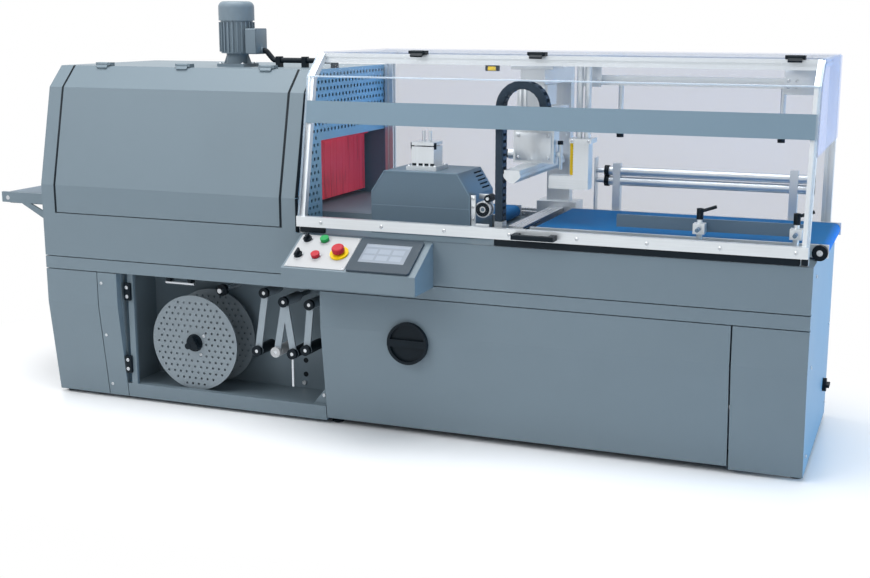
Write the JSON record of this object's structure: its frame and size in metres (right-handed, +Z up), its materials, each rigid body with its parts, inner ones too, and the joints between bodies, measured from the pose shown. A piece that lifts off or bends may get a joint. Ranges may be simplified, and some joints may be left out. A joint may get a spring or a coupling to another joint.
{
  "type": "continuous side sealer with shrink tunnel",
  "caption": "Packaging line machine: film sealing station under a clear hinged guard, control console, shrink tunnel hood with fan, belts and a waste film winder in a sheet cabinet.",
  "frame": {"origin": "middle of the bounding box at floor level", "axes": "+X along the line towards the infeed end, +Y away from the operator, +Z up"},
  "size_m": [2.963, 0.878, 1.375],
  "materials": {
    "paint": "smooth mid grey paint with a slight blue-green cast",
    "frame_paint": "darker grey paint inside the cabinet",
    "panel_white": "pale printed plate",
    "aluminium": "satin anodised",
    "steel": "brushed",
    "galvanised": "plain sheet",
    "black_plastic": "moulded black",
    "red_plastic": "moulded red",
    "green_plastic": "moulded green",
    "yellow_plastic": "moulded yellow",
    "clear": "clear sheet",
    "red_curtain": "coated silicone strip",
    "blue_belt": "woven belt",
    "mesh_belt": "coated open mesh",
    "motor_paint": "grey enamel"
  },
  "bodies": {
    "base": {"base_frame": "frame_paint", "levelling_feet": "black_plastic", "front_panels": "paint", "side_panels": "paint", "winder_bay": "paint", "table_top": "paint", "console_box": "paint", "button_plate": "panel_white", "hmi_panel": "black_plastic", "estop_collar": "yellow_plastic", "tunnel_hood": "paint", "tunnel_inlet_plate": "steel", "tunnel_chamber": "galvanised", "fan_motor": "motor_paint", "motor_conduit": "black_plastic", "exit_frame": "paint", "exit_belt": "mesh_belt", "infeed_bed": "aluminium", "infeed_belt": "blue_belt", "guard_frame": "aluminium", "guard_panes": "clear", "guard_hinges": "black_plastic", "side_seal_housing": "paint", "press_cylinder": "aluminium", "carriage_rails": "steel", "sensor_column": "aluminium", "film_rails": "aluminium"},
    "cabinet_door": {"cabinet_door": "paint"},
    "door_handle": {"door_handle": "black_plastic"},
    "main_switch": {"main_switch": "black_plastic"},
    "estop_button": {"estop_button": "red_plastic"},
    "green_button": {"green_button": "green_plastic"},
    "red_button": {"red_button": "red_plastic"},
    "selector_upper": {"selector_upper": "black_plastic"},
    "selector_lower": {"selector_lower": "black_plastic"},
    "tunnel_door": {"tunnel_door": "paint"},
    "inlet_curtain": {"inlet_curtain": "red_curtain"},
    "fan_impeller": {"fan_impeller": "galvanised"},
    "exit_roller": {"exit_roller": "steel"},
    "infeed_roller": {"infeed_roller": "steel"},
    "guide_rail": {"guide_rail": "aluminium"},
    "guard": {"guard_window": "clear", "guard_bar": "aluminium", "guard_fittings": "black_plastic"},
    "seal_wheels": {"seal_wheels": "black_plastic"},
    "press_plate": {"press_plate": "aluminium"},
    "carriage": {"seal_carriage": "aluminium", "cable_chain": "black_plastic"},
    "upper_jaw": {"upper_jaw": "aluminium"},
    "lower_jaw": {"lower_jaw": "steel"},
    "winder_reel": {"winder_reel": "aluminium"},
    "dancer_arm_1": {"dancer_arm_1": "aluminium"},
    "dancer_arm_2": {"dancer_arm_2": "aluminium"},
    "dancer_arm_3": {"dancer_arm_3": "aluminium"},
    "dancer_roller_1": {"dancer_roller_1": "black_plastic"},
    "dancer_roller_2": {"dancer_roller_2": "panel_white"},
    "dancer_roller_3": {"dancer_roller_3": "black_plastic"},
    "dancer_roller_4": {"dancer_roller_4": "black_plastic"},
    "clamp_lever_1": {"clamp_lever_1": "black_plastic"},
    "clamp_lever_2": {"clamp_lever_2": "black_plastic"}
  },
  "joints": [
    {"name": "tunnel_door_hinge", "type": "hinge", "parent": "base", "child": "tunnel_door", "pos_m": [-0.654, -0.13954, 1.16206], "axis": [-1, 0, 0], "range_deg": [0, 75]},
    {"name": "guard_hinge", "type": "hinge", "parent": "base", "child": "guard", "pos_m": [0.642, -0.12412, 1.21496], "axis": [-1, 0, 0], "range_deg": [0, 70]},
    {"name": "cabinet_door_hinge", "type": "hinge", "parent": "base", "child": "cabinet_door", "pos_m": [1.2255, -0.283, 0.2365], "axis": [0, 0, 1], "range_deg": [0, 110]},
    {"name": "door_handle_turn", "type": "hinge", "parent": "cabinet_door", "child": "door_handle", "pos_m": [0.2285, -0.291, 0.314], "axis": [0, 1, 0], "range_deg": [0, 90]},
    {"name": "main_switch_turn", "type": "hinge", "parent": "base", "child": "main_switch", "pos_m": [1.4535, 0.3, 0.147], "axis": [1, 0, 0], "range_deg": [0, 90]},
    {"name": "winder_spin", "type": "hinge", "parent": "base", "child": "winder_reel", "pos_m": [-0.5955, -0.168, 0.224], "axis": [0, 1, 0], "continuous": true},
    {"name": "dancer_swing_1", "type": "hinge", "parent": "base", "child": "dancer_arm_1", "pos_m": [-0.3135, -0.231, 0.423], "axis": [0, 1, 0], "range_deg": [-3, 9], "stiffness_Nm_per_rad": 3},
    {"name": "dancer_roller_spin_1", "type": "hinge", "parent": "dancer_arm_1", "child": "dancer_roller_1", "pos_m": [-0.3465, -0.231, 0.221], "axis": [0, 1, 0], "continuous": true},
    {"name": "dancer_swing_2", "type": "hinge", "parent": "base", "child": "dancer_arm_2", "pos_m": [-0.2415, -0.231, 0.398], "axis": [0, 1, 0], "range_deg": [-2, 6], "stiffness_Nm_per_rad": 3},
    {"name": "dancer_roller_spin_2", "type": "hinge", "parent": "dancer_arm_2", "child": "dancer_roller_2", "pos_m": [-0.2745, -0.231, 0.224], "axis": [0, 1, 0], "continuous": true},
    {"name": "dancer_roller_spin_3", "type": "hinge", "parent": "dancer_arm_2", "child": "dancer_roller_3", "pos_m": [-0.2135, -0.231, 0.223], "axis": [0, 1, 0], "continuous": true},
    {"name": "dancer_swing_3", "type": "hinge", "parent": "base", "child": "dancer_arm_3", "pos_m": [-0.1465, -0.231, 0.396], "axis": [0, 1, 0], "range_deg": [-15, 2], "stiffness_Nm_per_rad": 3},
    {"name": "dancer_roller_spin_4", "type": "hinge", "parent": "dancer_arm_3", "child": "dancer_roller_4", "pos_m": [-0.1635, -0.231, 0.24], "axis": [0, 1, 0], "continuous": true},
    {"name": "infeed_roller_spin", "type": "hinge", "parent": "base", "child": "infeed_roller", "pos_m": [1.4585, 0.059, 0.6667], "axis": [0, 1, 0], "continuous": true},
    {"name": "exit_roller_spin", "type": "hinge", "parent": "base", "child": "exit_roller", "pos_m": [-1.4555, 0.152, 0.6667], "axis": [0, 1, 0], "continuous": true},
    {"name": "carriage_slide", "type": "slide", "parent": "base", "child": "carriage", "axis": [-1, 0, 0], "range_m": [-0.02, 0.04], "deforming": ["cable_chain"]},
    {"name": "upper_jaw_slide", "type": "slide", "parent": "carriage", "child": "upper_jaw", "axis": [0, 0, -1], "range_m": [0, 0.114]},
    {"name": "lower_jaw_slide", "type": "slide", "parent": "carriage", "child": "lower_jaw", "axis": [0, 0, 1], "range_m": [0, 0.025]},
    {"name": "press_slide", "type": "slide", "parent": "base", "child": "press_plate", "axis": [0, 0, 1], "range_m": [0, 0.02]},
    {"name": "estop_push", "type": "slide", "parent": "base", "child": "estop_button", "axis": [0, 0.5, -0.866], "range_m": [0, 0.006], "stiffness_N_per_m": 600, "springref_m": -0.003},
    {"name": "green_push", "type": "slide", "parent": "base", "child": "green_button", "axis": [0, 0.5, -0.866], "range_m": [0, 0.004], "stiffness_N_per_m": 600, "springref_m": -0.003},
    {"name": "red_push", "type": "slide", "parent": "base", "child": "red_button", "axis": [0, 0.5, -0.866], "range_m": [0, 0.004], "stiffness_N_per_m": 600, "springref_m": -0.003},
    {"name": "selector_turn_upper", "type": "hinge", "parent": "base", "child": "selector_upper", "pos_m": [-0.1025, -0.31958, 0.6275], "axis": [0, -0.5, 0.866], "range_deg": [-45, 45]},
    {"name": "selector_turn_lower", "type": "hinge", "parent": "base", "child": "selector_lower", "pos_m": [-0.1025, -0.38626, 0.589], "axis": [0, -0.5, 0.866], "range_deg": [-45, 45]},
    {"name": "clamp_lever_turn_1", "type": "hinge", "parent": "base", "child": "clamp_lever_1", "pos_m": [1.1185, -0.213, 0.738], "axis": [0, 0, 1], "range_deg": [-25, 60]},
    {"name": "clamp_lever_turn_2", "type": "hinge", "parent": "base", "child": "clamp_lever_2", "pos_m": [1.3935, -0.213, 0.738], "axis": [0, 0, 1], "range_deg": [-25, 60]},
    {"name": "guide_rail_slide", "type": "slide", "parent": "base", "child": "guide_rail", "axis": [0, 1, 0], "range_m": [0, 0.05]},
    {"name": "inlet_curtain_swing", "type": "hinge", "parent": "base", "child": "inlet_curtain", "pos_m": [-0.2235, 0.156, 0.9147], "axis": [0, 1, 0], "range_deg": [0, 70]},
    {"name": "fan_spin", "type": "hinge", "parent": "base", "child": "fan_impeller", "pos_m": [-0.5405, 0.029, 1.0645], "axis": [0, 0, 1], "continuous": true},
    {"name": "seal_wheel_spin", "type": "hinge", "parent": "base", "child": "seal_wheels", "pos_m": [0.4355, -0.165, 0.736], "axis": [0, 1, 0], "continuous": true}
  ],
  "couplings": [
    {"joint": "lower_jaw_slide", "follows": "upper_jaw_slide", "ratio": 0.21842}
  ]
}
